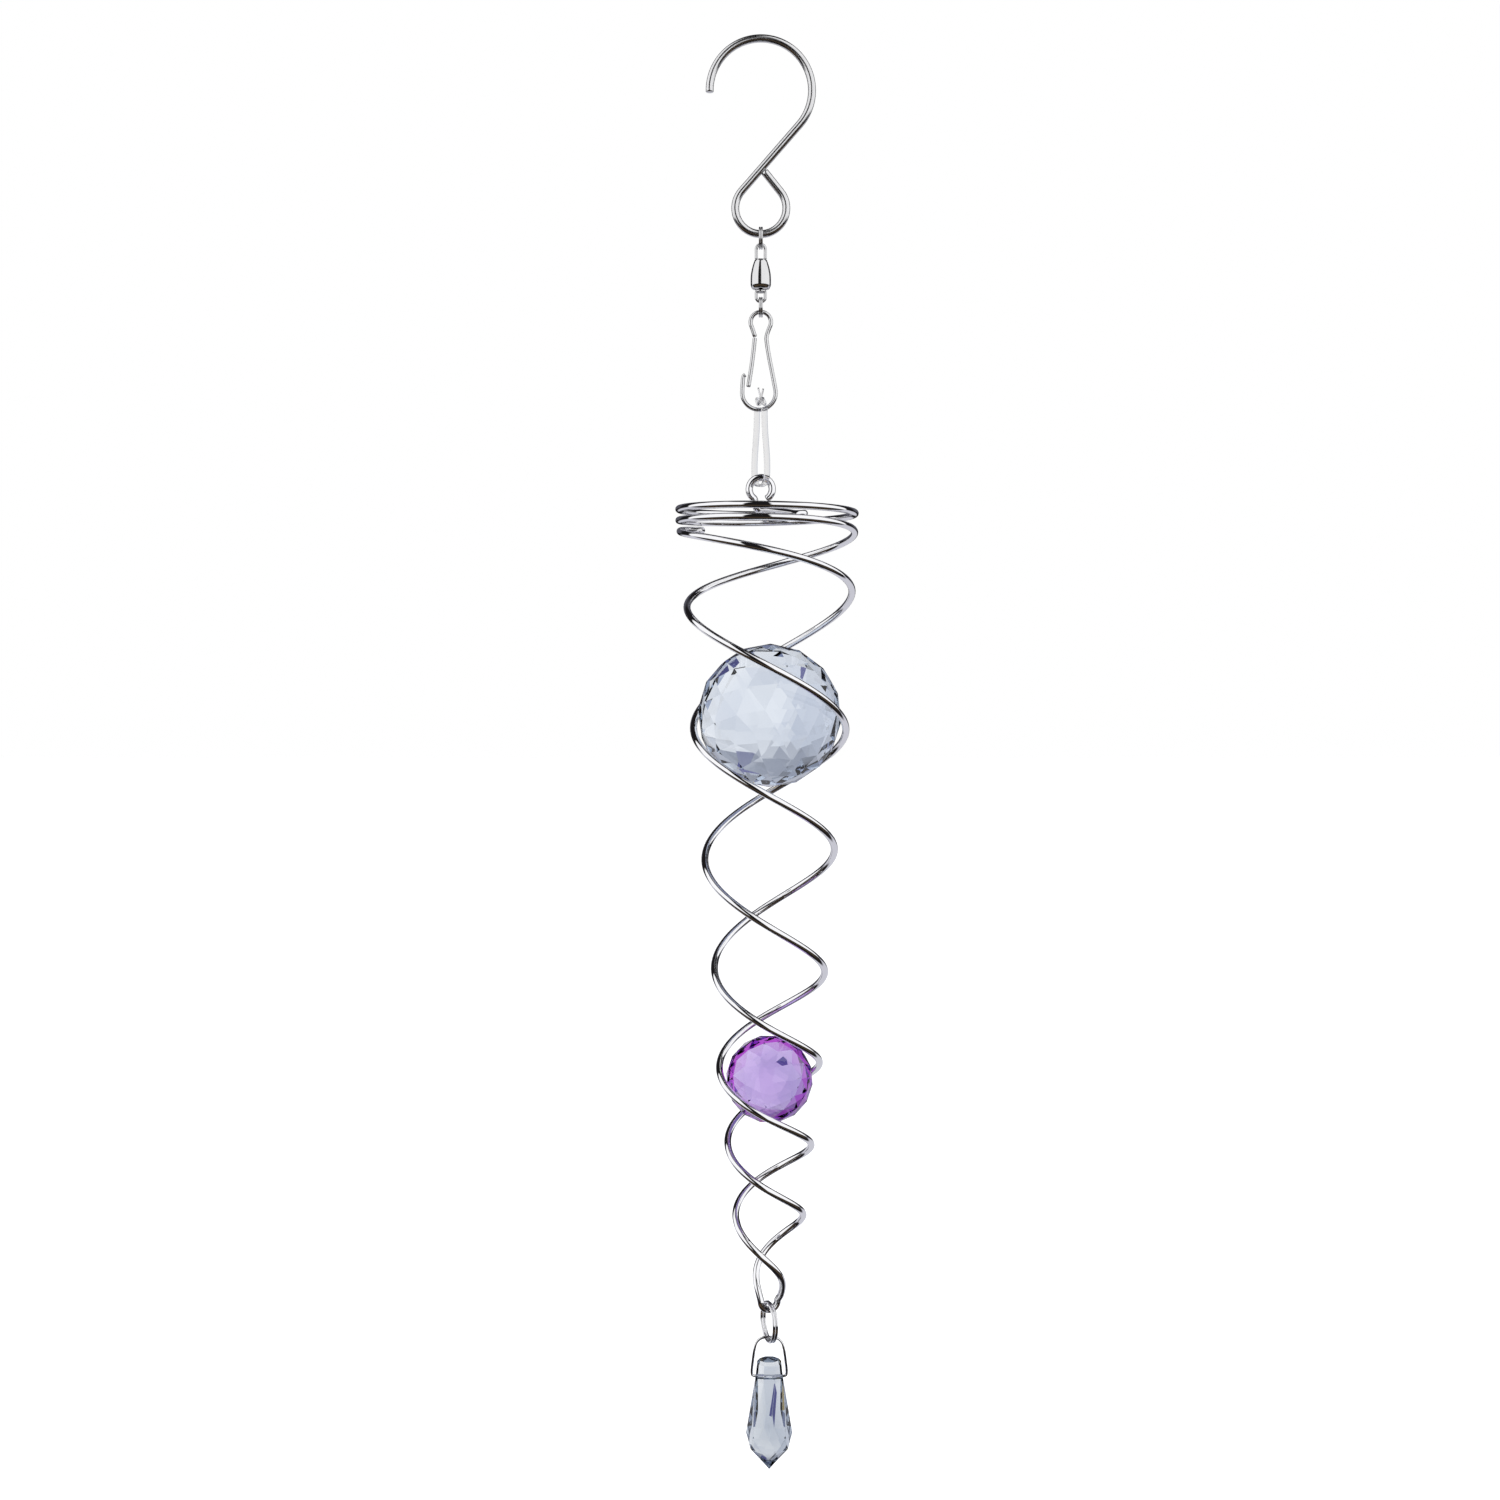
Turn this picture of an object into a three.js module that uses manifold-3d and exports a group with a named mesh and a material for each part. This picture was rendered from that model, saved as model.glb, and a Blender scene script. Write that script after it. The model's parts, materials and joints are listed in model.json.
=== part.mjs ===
// A hanging wind spinner: a chromed wire wound as a tapering double spiral around two crystal balls, with a
// crystal drop at its tip, hung by a clear strap from a swivel hook. Millimetres, +Z up. The origin is the
// inside crown of the S-hook's crook, the point that rests on the branch, rod or ceiling hook above it.
import * as THREE from 'three';
import Module from 'manifold-3d';
import { mergeVertices } from 'three/addons/utils/BufferGeometryUtils.js';

const wasm = await Module();
wasm.setup();

// ---------------------------------------------------------------- driving dimensions

const GAP = 0.3; // air left between fixed pieces that touch
const HANG = 0.5; // and between pieces that hang on each other
const CUT = 0.7; // between the stretches that the spiral's wire is divided into

const HOOK_WIRE = 2.6; // S-hook wire diameter
const CROOK_R = 17; // crook's centreline radius
const TEAR_R = 8.5; // centreline radius of the teardrop eye below it
const CROOK_TO_TEAR = 38.6; // between the two centres
const TEAR_TIP = 13; // height over the teardrop's centre where its wire meets the leg

const RING_TURNS = 1.92; // the three split rings are two turns of wire, side by side
const RING_STEP = 1.1; // from one turn to the next, in wire diameters
const SMALL_RING_WIRE = 0.62;
const UPPER_RING_R = 3.75; // outer radii of the split rings
const LOWER_RING_R = 3.4;
const TIP_RING_WIRE = 0.95;
const TIP_RING_R = 7.2;

const EYE_WIRE = 1.0; // the swivel's two eyes
const EYE_HALF = 1.5; // half the width of an eye, between its wire's centres
const EYE_DROP = 3.9; // straight height of an eye, from its arch's centre to the barrel
const BARREL_H = 9.8;
const BORE_R = 2.45;
const CAP_R = 2.15;
const CAP_HOLE = 0.95;
const CAP_H = 1.2;
const CAP_INSET = 0.25; // the washer stands this far inside the casing's mouth
const STEM_R = 0.6;
const HEAD_R = 1.9;
const BALL_R = 0.45; // bearing balls
const BALL_RING_R = 1.35;
const BALL_COUNT = 6;

const CLIP_WIRE = 1.4; // snap clip
const CLIP_TOP_R = 3.4; // its top loop
const CLIP_NECK = [1.93, -8.2]; // below the loop, where the wire's two sides come together
const CLIP_SIDE = [[3.9, -20.5], [2.9, -15.5], [2.15, -11]]; // up from the foot on the right
const CLIP_FOOT_R = 5.6;
const CLIP_FOOT = [-0.6, -26.8]; // centre of the rounded foot
const CLIP_LATCH = [[-5.2, -20.8], [-5.75, -21.3], [-6.05, -23.4]]; // the hooked end on the left
const GATE = [[-2.35, -12], [-3.1, -18], [-4.15, -24.8]]; // the springy arm below its heel

const STRAP_WIDTH = 2.3; // clear hanging strap
const STRAP_THICK = 0.7;
const STRAP_RUN = 22.6; // between the centres of the two wires it joins
const STRAP_TURN = 30; // the front leg lies this many degrees round to the right
const KNOT_HALF = [2.0, 2.9, 1.5]; // half the knot's size

const WIRE = 2.4; // the spiral's wire
const SPIRAL_X = 3; // the spiral's axis lies this far to the right of its eye
const EYE_R = 3.85; // centreline radius of the spiral's eye
const EYE_Z = 55.25; // height of the eye's centre over the spiral's own zero
const BAR_Z = 48.6; // height of the bar that carries the eye
const BAR_AZIMUTH = 62; // where the bar meets the top coil
const BIGHT_R = 3; // the fold at the tip
const BIGHT_Z = -221.7;
const BIGHT_TURN = 18; // degrees past the last half turn
const FREE_END = -1.23; // the half turn where strand b is cut off
const EYE_FROM = -4.5; // and those where the wire's first and last stretches end
const TIP_FROM = 5.5;

// Each half turn of the wire, counted from where the wide spiral begins: the heights of strand a's and
// strand b's centre, and the radius of both.
const FIRST_HALF_TURN = -5;
const HALF_TURNS = [
  [49.3, 44.0, 29.6],
  [48.5, 44.0, 29.6],
  [47.0, 43.0, 29.6],
  [44.8, 42.0, 29.6],
  [40.4, 41.2, 29.3],
  [15.8, 20.3, 27.8],
  [-26.6, -25.0, 25.7],
  [-70.0, -67.2, 21.9],
  [-108.6, -107.0, 18.7],
  [-141.2, -139.5, 17.0],
  [-167.9, -167.1, 14.2],
  [-193.2, -192.4, 11.4],
  [-219.5, -217.5, 3.9],
];
const COIL_SHIFT = -0.9; // the top coil sits a little to the left of the axis
const COIL_FOOT = 12; // from this height upwards

const LARGE_BALL_R = 24.3;
const LARGE_BALL_Z = -20.8;
const SMALL_BALL_R = 14.9;
const SMALL_BALL_Z = -144.7;

const BAIL_WIRE = 0.9;
const PIN_DROP = 13.6; // from the bail's crown down to its pin ends
// Half of the bail, from its pin end up to the crown: distance from its middle and height under the crown.
const BAIL_SIDE = [
  [1.0, 13.6],
  [3.2, 13.6],
  [5.0, 13.6],
  [5.75, 13.3],
  [6.0, 12.4],
  [5.6, 8],
  [5.0, 4],
  [4.4, 2],
  [3.2, 0.7],
  [1.6, 0.1],
];
const PIN_BORE = 0.85; // radius of the hole through the drop
const PIN_DEPTH = 5.8; // from the drop's top to that hole
const DROP_SIDES = 8;
const DROP_DEPTH = 0.88; // the drop is a little thinner front to back
// Each ring of the drop's corners: distance from its top, radius, and turn in steps of one side.
const DROP_RINGS = [
  [0, 3.5, 0],
  [1.1, 4.5, 0],
  [6.9, 5.2, 0],
  [25.6, 8.0, 0.5],
  [30.6, 6.9, 0],
  [33.8, 4.3, 0.5],
];
const DROP_LENGTH = 38.5;

const MIRROR_CHROME = { color: 0xd9dbde, roughness: 0.05, metalness: 1 };
const STAINLESS = { color: 0xb9bbbd, roughness: 0.3, metalness: 1 };
const CLEAR_CRYSTAL = { color: 0xcdd6e6, roughness: 0.02, metalness: 0 };
const VIOLET_CRYSTAL = { color: 0xb79bdf, roughness: 0.02, metalness: 0 };
const CLEAR_PLASTIC = { color: 0xe9edf0, roughness: 0.15, metalness: 0 };

// ---------------------------------------------------------------- heights, worked down from the origin

const CROOK_Z = -(CROOK_R - HOOK_WIRE / 2);
const TEAR_Z = CROOK_Z - CROOK_TO_TEAR;
const TEAR_FOOT_Z = TEAR_Z - TEAR_R;
const UPPER_RING_Z = hangRing(TEAR_FOOT_Z, HOOK_WIRE, UPPER_RING_R);
const UPPER_EYE_Z = hangWire(UPPER_RING_Z, UPPER_RING_R, EYE_WIRE);
const BARREL_TOP = UPPER_EYE_Z - EYE_HALF - EYE_DROP + EYE_WIRE / 2;
const BARREL_FOOT = BARREL_TOP - BARREL_H;
const LOWER_EYE_Z = BARREL_FOOT - GAP - EYE_DROP;
const LOWER_RING_Z = hangRing(LOWER_EYE_Z, EYE_WIRE, LOWER_RING_R);
const CLIP_Z = hangWire(LOWER_RING_Z, LOWER_RING_R, CLIP_WIRE);
const CLIP_FOOT_Z = CLIP_Z + CLIP_FOOT[1] - CLIP_FOOT_R;
const EYE_TOP_Z = CLIP_FOOT_Z - STRAP_RUN;
const SPIRAL_Z = EYE_TOP_Z - EYE_Z - EYE_R;
const TIP_RING_Z = BIGHT_Z - BIGHT_R + WIRE / 2 + 0.8 - (TIP_RING_R - TIP_RING_WIRE);
const BAIL_Z = TIP_RING_Z - (TIP_RING_R - TIP_RING_WIRE) + HANG + BAIL_WIRE / 2;
const PIN_Z = BAIL_Z - PIN_DROP;
const DROP_TOP_Z = PIN_Z + PIN_DEPTH;

// Centre height of a small ring of outer radius r that hangs on a wire.
function hangRing(wireZ, wire, r) {
  return wireZ + wire / 2 + HANG - (r - SMALL_RING_WIRE);
}

// Centre height of a wire that rests inside the foot of a small ring.
function hangWire(ringZ, r, wire) {
  return ringZ - (r - SMALL_RING_WIRE) + HANG + wire / 2;
}

// ---------------------------------------------------------------- shape helpers

const rad = THREE.MathUtils.degToRad;

// A polygon close to a circle of the given diameter.
function roundSection(diameter, sides) {
  const shape = new THREE.Shape();
  for (let i = 0; i < sides; i++) {
    const a = (2 * Math.PI * i) / sides;
    const x = (diameter / 2) * Math.cos(a);
    const y = (diameter / 2) * Math.sin(a);
    if (i === 0) shape.moveTo(x, y);
    else shape.lineTo(x, y);
  }
  shape.closePath();
  return shape;
}

// A closed bar of the given section along a smooth curve through the points.
function sweep(points, steps, section) {
  const path = new THREE.CatmullRomCurve3(points, false, 'centripetal');
  return new THREE.ExtrudeGeometry(section, { steps, bevelEnabled: false, extrudePath: path });
}

function wire(points, diameter, steps, sides = 8) {
  return sweep(points, steps, roundSection(diameter, sides));
}

// Points on an arc in the XZ plane, angles in degrees from +X towards +Z.
function arc(x, z, r, from, to, count) {
  const points = [];
  for (let i = 0; i <= count; i++) {
    const a = rad(from + ((to - from) * i) / count);
    points.push(new THREE.Vector3(x + r * Math.cos(a), 0, z + r * Math.sin(a)));
  }
  return points;
}

// Points on the straight line from a to b, without its ends.
function between(a, b, count) {
  const points = [];
  for (let i = 1; i <= count; i++) points.push(a.clone().lerp(b, i / (count + 1)));
  return points;
}

function lathe(profile, segments) {
  const points = profile.map(([r, z]) => new THREE.Vector2(r, z));
  return new THREE.LatheGeometry(points, segments).rotateX(Math.PI / 2);
}

function solid(geometry) {
  const bare = geometry.index ? geometry.toNonIndexed() : geometry.clone();
  bare.deleteAttribute('normal');
  bare.deleteAttribute('uv');
  const merged = mergeVertices(bare, 1e-4);
  const vertProperties = new Float32Array(merged.attributes.position.array);
  const triVerts = new Uint32Array(merged.index.array);
  return new wasm.Manifold(new wasm.Mesh({ numProp: 3, vertProperties, triVerts }));
}

function fromSolid(manifold) {
  const mesh = manifold.getMesh();
  const geometry = new THREE.BufferGeometry();
  geometry.setAttribute('position', new THREE.BufferAttribute(mesh.vertProperties, 3));
  geometry.setIndex(new THREE.BufferAttribute(mesh.triVerts, 1));
  geometry.computeVertexNormals();
  return geometry;
}

const root = new THREE.Group();

function add(name, geometry, look, parent = root) {
  const mesh = new THREE.Mesh(geometry, new THREE.MeshStandardMaterial(look));
  mesh.name = name;
  parent.add(mesh);
  return mesh;
}

// ---------------------------------------------------------------- swivel hook

// One wire: crook, straight leg down to the left, and a teardrop eye that ends against the leg.
function hookGeometry() {
  const lean = Math.asin((CROOK_R + TEAR_R) / CROOK_TO_TEAR);
  const degrees = THREE.MathUtils.radToDeg(lean);
  const crook = arc(0, CROOK_Z, CROOK_R, 182, -degrees, 26);
  const side = new THREE.Vector3(Math.cos(lean), 0, -Math.sin(lean));
  const legX = TEAR_R * -side.x + (TEAR_TIP - TEAR_R * -side.z) * Math.tan(lean);
  const end = new THREE.Vector3(legX, 0, TEAR_Z + TEAR_TIP).addScaledVector(side, HOOK_WIRE / 2 + GAP);
  const rise = new THREE.Vector2(end.x, end.z - TEAR_Z);
  const leave = Math.atan2(rise.y, rise.x) - Math.acos(TEAR_R / rise.length());
  const tear = arc(0, TEAR_Z, TEAR_R, 180 - degrees, 360 + THREE.MathUtils.radToDeg(leave), 18);
  const leg = between(crook.at(-1), tear[0], 6);
  const close = between(tear.at(-1), end, 1);
  return wire([...crook, ...leg, ...tear, ...close, end], HOOK_WIRE, 76);
}

// Two turns of wire around the X axis that lie flat beside each other and step across half way.
function splitRing(outerR, wireDiameter, endAngle) {
  const r = outerR - wireDiameter / 2;
  const count = 38;
  const points = [];
  for (let i = 0; i <= count; i++) {
    const t = i / count;
    const a = rad(endAngle) + 2 * Math.PI * RING_TURNS * t;
    const step = THREE.MathUtils.smoothstep(t, 0.44, 0.56) - 0.5;
    points.push(new THREE.Vector3(step * RING_STEP * wireDiameter, r * Math.cos(a), r * Math.sin(a)));
  }
  return wire(points, wireDiameter, count, 6);
}

// An arch of wire with two straight legs, opening downwards, its crown's centre at the origin.
function archWire(legLength) {
  const crown = arc(0, -EYE_HALF, EYE_HALF, 180, 0, 8);
  const left = new THREE.Vector3(-EYE_HALF, 0, -EYE_HALF - legLength);
  const right = new THREE.Vector3(EYE_HALF, 0, -EYE_HALF - legLength);
  const down = between(crown.at(-1), right, 2);
  return wire([left, ...between(left, crown[0], 2), ...crown, ...down, right], EYE_WIRE, 22);
}

// The swivel's casing: a bullet-shaped cup, open below.
function barrelGeometry() {
  return lathe([
    [0, -3.2],
    [BORE_R, -3.6],
    [BORE_R, -BARREL_H],
    [2.85, -BARREL_H],
    [3.4, -8.6],
    [3.4, -6.2],
    [3.3, -4.8],
    [2.95, -3],
    [2.45, -1.3],
    [1.95, 0],
    [0, 0],
  ], 24);
}

// The pressed-in washer that the balls run on.
function capGeometry() {
  return lathe([
    [CAP_HOLE, 0],
    [CAP_R, 0],
    [CAP_R, CAP_H],
    [CAP_HOLE, CAP_H],
    [CAP_HOLE, 0],
  ], 20);
}

// The turning lower eye: a headed stem, a shoulder and an arch of wire hanging from it.
function lowerEyeGeometry(headFoot) {
  const stem = lathe([
    [0, -1.1],
    [1.75, -1.1],
    [1.75, -GAP],
    [STEM_R, -GAP],
    [STEM_R, headFoot],
    [HEAD_R, headFoot],
    [HEAD_R - 0.2, headFoot + 1.1],
    [0, headFoot + 1.2],
    [0, -1.1],
  ], 16);
  const arch = archWire(EYE_DROP - EYE_HALF - 0.5);
  arch.rotateX(Math.PI);
  arch.translate(0, 0, -GAP - EYE_DROP);
  return fromSolid(solid(stem).add(solid(arch)));
}

// The swivel: the casing with its fixed upper eye and washer, the bearing and the turning lower eye.
function addSwivel() {
  const upper = archWire(EYE_DROP - EYE_WIRE / 2 - GAP);
  add('swivel_upper_eye', upper, STAINLESS).position.z = UPPER_EYE_Z;
  add('swivel_barrel', barrelGeometry(), STAINLESS).position.z = BARREL_TOP;
  add('swivel_end_cap', capGeometry(), STAINLESS).position.z = BARREL_FOOT + CAP_INSET;
  const ballZ = CAP_INSET + CAP_H + GAP + BALL_R;
  for (let i = 0; i < BALL_COUNT; i++) {
    const a = (2 * Math.PI * i) / BALL_COUNT;
    const ball = add(`bearing_ball_${i + 1}`, new THREE.IcosahedronGeometry(BALL_R, 1), MIRROR_CHROME);
    ball.position.set(BALL_RING_R * Math.cos(a), BALL_RING_R * Math.sin(a), BARREL_FOOT + ballZ);
  }
  const headFoot = ballZ + BALL_R + GAP;
  add('swivel_lower_eye', lowerEyeGeometry(headFoot), STAINLESS).position.z = BARREL_FOOT;
}

// Snap clip: top loop, waist, right side, foot and the latch that the gate springs against.
function addClip() {
  const [neckX, neckZ] = CLIP_NECK;
  const at = ([x, z]) => new THREE.Vector3(x, 0, z);
  const foot = arc(...CLIP_FOOT, CLIP_FOOT_R, 178, 372, 14);
  const loop = arc(0, -CLIP_TOP_R, CLIP_TOP_R, -28, 208, 14);
  const neck = [at(CLIP_NECK), ...loop, at([-neckX, neckZ])];
  const points = [...CLIP_LATCH.map(at), ...foot, ...CLIP_SIDE.map(at), ...neck];
  const clip = new THREE.Group();
  clip.position.z = CLIP_Z;
  root.add(clip);
  add('snap_clip', wire(points, CLIP_WIRE, 72), STAINLESS, clip);
  const heel = at([-neckX - 0.1, neckZ - 2 * GAP]);
  add('snap_clip_gate', wire([heel, ...GATE.map(at)], CLIP_WIRE, 10), STAINLESS, clip);
}

// ---------------------------------------------------------------- clear strap

// The strap's route: from the knot down its front leg, under the eye's wire and up its back leg. Each point
// is the distance to the back and the height over the eye's wire; the loop's plane is then turned.
const STRAP_ROUTE = [
  [-2.45, 23.05],
  [-2.45, 21.5],
  [-2.6, 18],
  [-3.0, 14],
  [-3.6, 10],
  [-4.1, 6],
  [-4.2, 3],
  [-4.1, 0.7],
  [-3.5, -1.1],
  [-2.5, -2.2],
  [-1.2, -2.65],
  [0, -2.75],
  [1.2, -2.65],
  [2.5, -2.2],
  [3.5, -1.1],
  [4.1, 0.7],
  [4.2, 3],
  [4.1, 6],
  [3.6, 10],
  [3.0, 14],
  [2.6, 18],
  [2.45, 21.5],
  [2.45, 23.05],
];

// A flat rectangle with its corners cut.
function strapSection() {
  const a = STRAP_THICK / 2;
  const b = STRAP_WIDTH / 2;
  const cut = 0.2;
  const quarter = [[a, b - cut], [a - cut, b]];
  const corners = [
    ...quarter,
    ...quarter.map(([x, y]) => [-x, y]).reverse(),
    ...quarter.map(([x, y]) => [-x, -y]),
    ...quarter.map(([x, y]) => [x, -y]).reverse(),
  ];
  return new THREE.Shape(corners.map(([x, y]) => new THREE.Vector2(x, y)));
}

function addStrap() {
  const loop = new THREE.Group();
  loop.position.z = EYE_TOP_Z;
  loop.rotation.z = rad(STRAP_TURN);
  root.add(loop);
  const route = STRAP_ROUTE.map(([y, z]) => new THREE.Vector3(0, y, z));
  add('hanging_strap', sweep(route, 44, strapSection()), CLEAR_PLASTIC, loop);
  const knot = new THREE.SphereGeometry(1, 14, 8).rotateX(Math.PI / 2).scale(...KNOT_HALF);
  const knotZ = STRAP_RUN + CLIP_WIRE / 2 + HANG + KNOT_HALF[2];
  add('strap_knot', knot, CLEAR_PLASTIC, loop).position.z = knotZ;
}

// ---------------------------------------------------------------- spiral

// Half turn, height and radius of both strands, as smooth curves through the stations.
const stations = {
  a: stationCurve(HALF_TURNS.map(([za, , r]) => [za, r])),
  b: stationCurve(HALF_TURNS.map(([, zb, r]) => [zb, r])),
};

function stationCurve(rows) {
  const points = rows.map(([z, r], i) => new THREE.Vector3(i + FIRST_HALF_TURN, z, r));
  return new THREE.CatmullRomCurve3(points, false, 'catmullrom');
}

// A point on the wire. Going down it runs left, front, right, back; strand b lies opposite strand a.
function strandPoint(halfTurn, strand) {
  const { y: z, z: r } = stations[strand].getPoint((halfTurn - FIRST_HALF_TURN) / (HALF_TURNS.length - 1));
  const a = Math.PI * (halfTurn + (strand === 'a' ? 1 : 0));
  const shift = COIL_SHIFT * THREE.MathUtils.smoothstep(z, COIL_FOOT, BAR_Z);
  return new THREE.Vector3(shift + r * Math.cos(a), r * Math.sin(a), z);
}

// Half turns that take half a cut's length of wire.
function trim(halfTurn, strand) {
  const step = 0.01;
  const length = strandPoint(halfTurn - step, strand).distanceTo(strandPoint(halfTurn + step, strand));
  return (CUT * step) / length;
}

const STEPS_PER_HALF_TURN = 12;

function strandPoints(from, to, strand) {
  const count = Math.round(Math.abs(to - from) * STEPS_PER_HALF_TURN);
  const points = [];
  for (let i = 0; i <= count; i++) points.push(strandPoint(from + ((to - from) * i) / count, strand));
  return points;
}

function addStrandPieces(spiral) {
  const strands = {
    a: [EYE_FROM, -2.5, -0.5, 1.5, 3.5, TIP_FROM],
    b: [FREE_END, -0.5, 1.5, 3.5, TIP_FROM],
  };
  for (const [strand, breaks] of Object.entries(strands)) {
    for (let i = 0; i + 1 < breaks.length; i++) {
      const from = breaks[i] === FREE_END ? FREE_END : breaks[i] + trim(breaks[i], strand);
      const to = breaks[i + 1] - trim(breaks[i + 1], strand);
      const points = strandPoints(from, to, strand);
      add(`spiral_${strand}_${i + 1}`, wire(points, WIRE, points.length - 1), MIRROR_CHROME, spiral);
    }
  }
}

// The last turns of both strands and the fold that joins them.
function tipGeometry() {
  const a = strandPoints(TIP_FROM + trim(TIP_FROM, 'a'), 7, 'a');
  const b = strandPoints(7, TIP_FROM + trim(TIP_FROM, 'b'), 'b');
  const fold = arc(0, BIGHT_Z, BIGHT_R, 0, -180, 10);
  for (const p of fold) p.applyAxisAngle(new THREE.Vector3(0, 0, 1), rad(BIGHT_TURN));
  return wire([...a, ...fold, ...b], WIRE, 64);
}

// The eye, the bar below it and the tight bend into the top coil.
function eyeGeometry() {
  const coil = strandPoints(EYE_FROM - trim(EYE_FROM, 'a'), -4.62, 'a');
  const bend = new THREE.Vector3(Math.cos(rad(BAR_AZIMUTH)), Math.sin(rad(BAR_AZIMUTH)), 0);
  const heel = bend.clone().multiplyScalar(28.3).add(new THREE.Vector3(COIL_SHIFT, 0, BAR_Z + 0.45));
  const bar = bend.clone().multiplyScalar(25).add(new THREE.Vector3(COIL_SHIFT - 1.2, 1, BAR_Z + 0.2));
  const foot = new THREE.Vector3(-SPIRAL_X - 1.4, 1.5, BAR_Z + 0.3);
  const ring = arc(-SPIRAL_X, EYE_Z, EYE_R, -125, -420, 17);
  ring.forEach((p, i) => p.setY(0.5 - i / 17));
  return wire([...coil, heel, bar, ...between(bar, foot, 4), foot, ...ring], WIRE, 66);
}

function addSpiral() {
  const spiral = new THREE.Group();
  spiral.position.set(SPIRAL_X, 0, SPIRAL_Z);
  root.add(spiral);
  add('spiral_eye', eyeGeometry(), MIRROR_CHROME, spiral);
  addStrandPieces(spiral);
  add('spiral_tip', tipGeometry(), MIRROR_CHROME, spiral);
  const large = new THREE.IcosahedronGeometry(LARGE_BALL_R, 2).rotateX(rad(14)).rotateZ(rad(20));
  add('large_crystal_ball', large, CLEAR_CRYSTAL, spiral).position.z = LARGE_BALL_Z;
  const small = new THREE.IcosahedronGeometry(SMALL_BALL_R, 2).rotateX(rad(-9)).rotateZ(rad(35));
  add('small_crystal_ball', small, VIOLET_CRYSTAL, spiral).position.z = SMALL_BALL_Z;
  const ring = add('tip_ring', splitRing(TIP_RING_R, TIP_RING_WIRE, 100), MIRROR_CHROME, spiral);
  ring.position.z = TIP_RING_Z;
  ring.rotation.z = rad(BIGHT_TURN);
  add('drop_bail', bailGeometry(), MIRROR_CHROME, spiral).position.z = BAIL_Z;
  add('crystal_drop', dropGeometry(), CLEAR_CRYSTAL, spiral).position.z = DROP_TOP_Z;
}

// ---------------------------------------------------------------- drop

// A thin arch whose feet turn in towards each other through the drop.
function bailGeometry() {
  const right = BAIL_SIDE.map(([x, down]) => new THREE.Vector3(x, 0, -down));
  const left = BAIL_SIDE.map(([x, down]) => new THREE.Vector3(-x, 0, -down)).reverse();
  return wire([...right, new THREE.Vector3(0, 0, 0), ...left], BAIL_WIRE, 44);
}

// Flat facets between rings of corners, closed by a flat top and a point.
function dropGeometry() {
  const corners = [];
  for (const [down, r, turn] of DROP_RINGS) {
    for (let i = 0; i < DROP_SIDES; i++) {
      const a = (2 * Math.PI * (i + turn + 0.5)) / DROP_SIDES;
      corners.push(r * Math.cos(a), DROP_DEPTH * r * Math.sin(a), -down);
    }
  }
  corners.push(0, 0, -DROP_LENGTH);
  const faces = [];
  for (let i = 1; i + 1 < DROP_SIDES; i++) faces.push(0, i, i + 1);
  for (let k = 0; k + 1 < DROP_RINGS.length; k++) {
    const turned = DROP_RINGS[k + 1][2] > DROP_RINGS[k][2];
    for (let i = 0; i < DROP_SIDES; i++) {
      const next = (i + 1) % DROP_SIDES;
      const a = k * DROP_SIDES + i;
      const b = k * DROP_SIDES + next;
      const c = a + DROP_SIDES;
      const d = b + DROP_SIDES;
      if (turned) faces.push(a, c, b, b, c, d);
      else faces.push(a, c, d, a, d, b);
    }
  }
  const last = (DROP_RINGS.length - 1) * DROP_SIDES;
  const point = DROP_RINGS.length * DROP_SIDES;
  for (let i = 0; i < DROP_SIDES; i++) faces.push(last + i, point, last + ((i + 1) % DROP_SIDES));
  const geometry = new THREE.BufferGeometry();
  geometry.setAttribute('position', new THREE.Float32BufferAttribute(corners, 3));
  geometry.setIndex(faces);
  const bore = new THREE.CylinderGeometry(PIN_BORE, PIN_BORE, 20, 12).rotateZ(Math.PI / 2);
  bore.translate(0, 0, -PIN_DEPTH);
  return fromSolid(solid(geometry).subtract(solid(bore)));
}

// ---------------------------------------------------------------- assembly

add('s_hook', hookGeometry(), STAINLESS);
add('upper_split_ring', splitRing(UPPER_RING_R, SMALL_RING_WIRE, 60), STAINLESS).position.z = UPPER_RING_Z;
addSwivel();
add('lower_split_ring', splitRing(LOWER_RING_R, SMALL_RING_WIRE, 60), STAINLESS).position.z = LOWER_RING_Z;
addClip();
addStrap();
addSpiral();

export default root;
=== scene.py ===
import json
import math

import bpy
import numpy as np
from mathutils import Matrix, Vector


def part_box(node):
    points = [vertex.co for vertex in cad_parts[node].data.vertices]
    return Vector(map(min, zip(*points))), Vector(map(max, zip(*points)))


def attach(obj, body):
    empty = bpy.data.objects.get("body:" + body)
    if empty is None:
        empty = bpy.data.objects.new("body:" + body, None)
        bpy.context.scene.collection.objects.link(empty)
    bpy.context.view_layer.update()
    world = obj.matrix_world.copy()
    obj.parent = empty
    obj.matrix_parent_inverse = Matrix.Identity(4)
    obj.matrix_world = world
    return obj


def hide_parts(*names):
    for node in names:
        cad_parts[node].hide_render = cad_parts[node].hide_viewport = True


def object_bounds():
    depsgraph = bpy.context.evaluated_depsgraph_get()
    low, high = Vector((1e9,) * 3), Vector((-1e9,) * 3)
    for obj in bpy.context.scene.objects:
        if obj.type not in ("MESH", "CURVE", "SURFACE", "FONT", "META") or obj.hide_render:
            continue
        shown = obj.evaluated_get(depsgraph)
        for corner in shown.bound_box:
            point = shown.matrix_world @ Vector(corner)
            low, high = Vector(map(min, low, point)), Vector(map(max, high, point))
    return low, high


# A hanging wind spinner: a chromed wire wound as a tapering double spiral around two cut crystal balls,
# with a crystal drop at its tip, on a clear strap and a stainless swivel hook. Metres, +Z up, and the
# front is -Y.

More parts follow.
